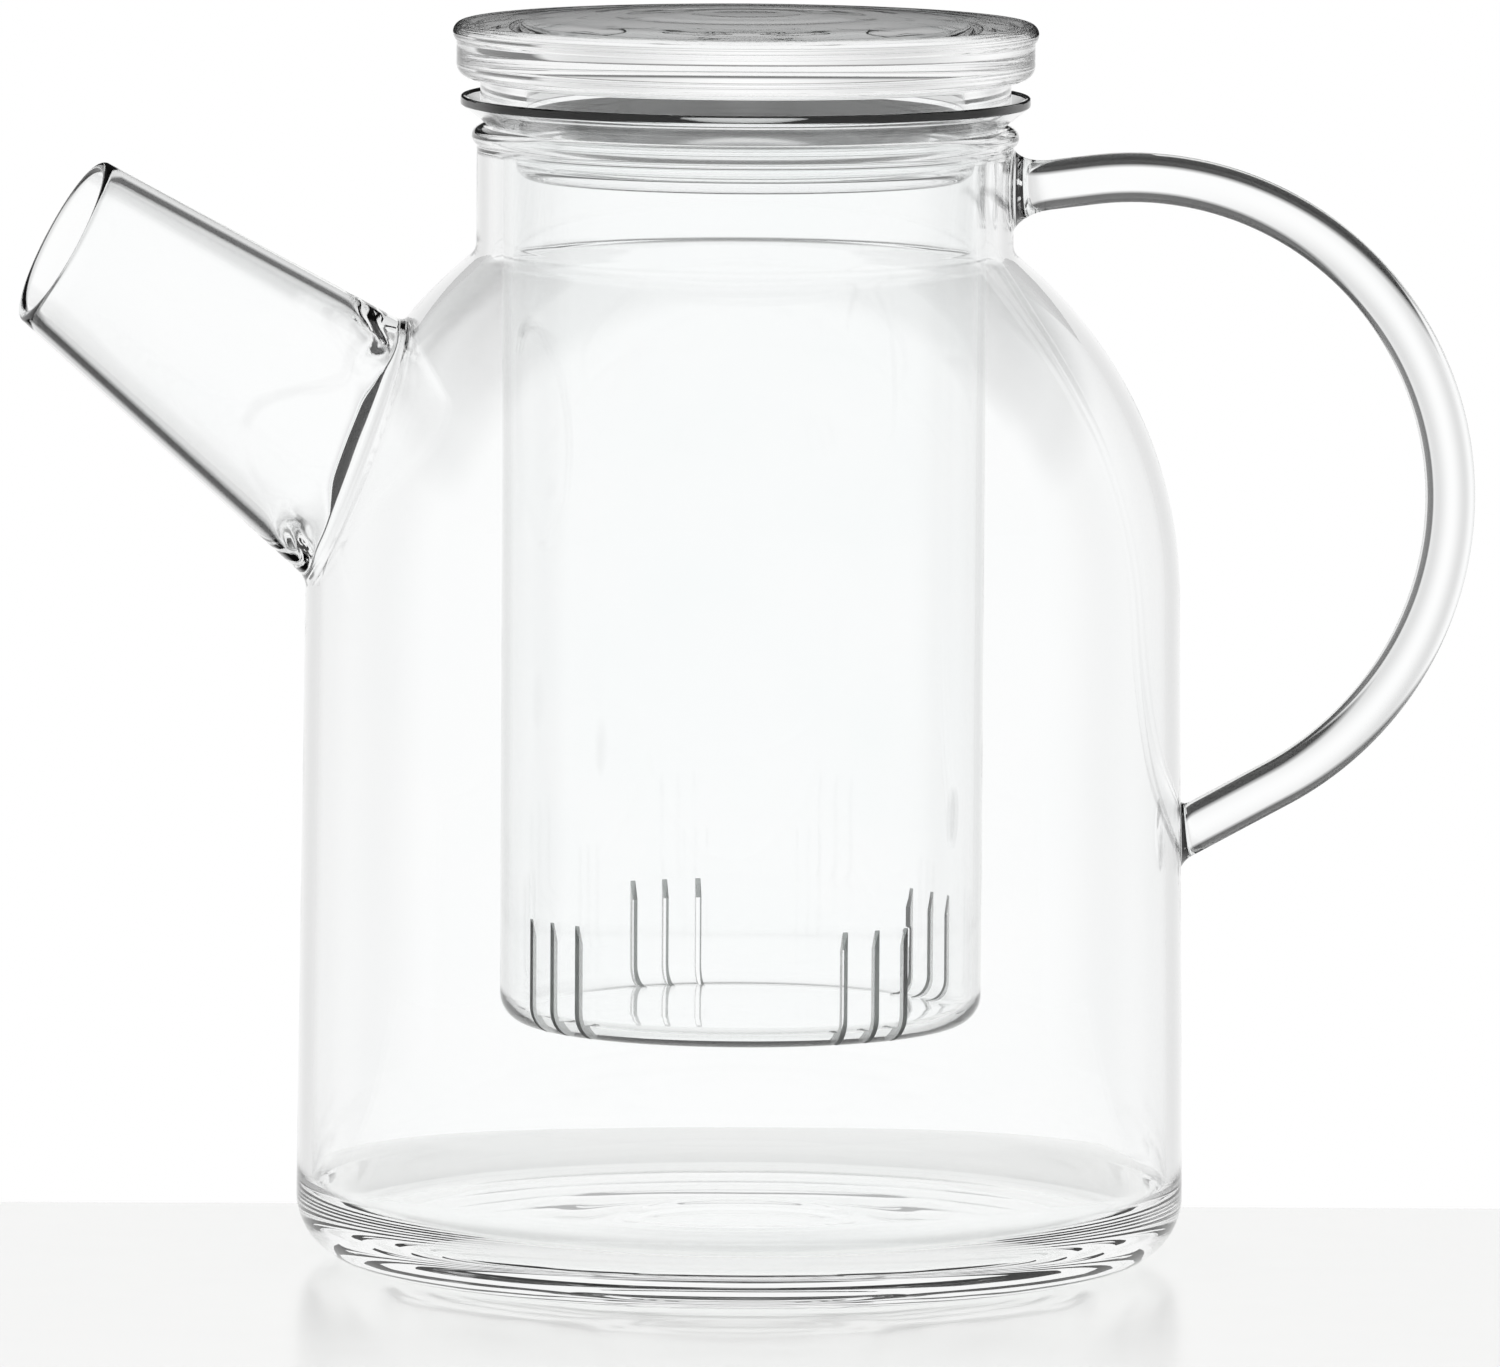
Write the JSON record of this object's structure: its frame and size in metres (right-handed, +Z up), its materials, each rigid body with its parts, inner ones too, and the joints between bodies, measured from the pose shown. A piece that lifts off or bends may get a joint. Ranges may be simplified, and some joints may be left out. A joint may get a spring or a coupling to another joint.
{
  "type": "glass teapot",
  "caption": "Clear glass teapot with a domed cylindrical body, conical spout, round rod handle, lift-out slit glass strainer and a thick flat glass lid.",
  "frame": {"origin": "centre of the flat base on the pot's axis, on the surface that it stands on", "axes": "+Z up along the pot's axis, +X towards the handle, -X towards the spout, +Y away from the viewer"},
  "size_m": [0.2055, 0.125, 0.1756],
  "materials": {
    "borosilicate_glass": "clear borosilicate glass, fire-polished, with ground saw cuts in the strainer"
  },
  "bodies": {
    "pot": {"vessel": "borosilicate_glass", "spout": "borosilicate_glass", "handle_rod": "borosilicate_glass", "handle_upper_foot": "borosilicate_glass", "handle_lower_foot": "borosilicate_glass"},
    "infuser": {"infuser": "borosilicate_glass"},
    "lid": {"lid_plug": "borosilicate_glass", "lid_disc": "borosilicate_glass"}
  },
  "joints": [
    {"name": "infuser_lift", "type": "slide", "parent": "pot", "child": "infuser", "axis": [0, 0, 1], "range_m": [0, 0.14]},
    {"name": "lid_lift", "type": "slide", "parent": "infuser", "child": "lid", "axis": [0, 0, 1], "range_m": [0, 0.06]}
  ]
}
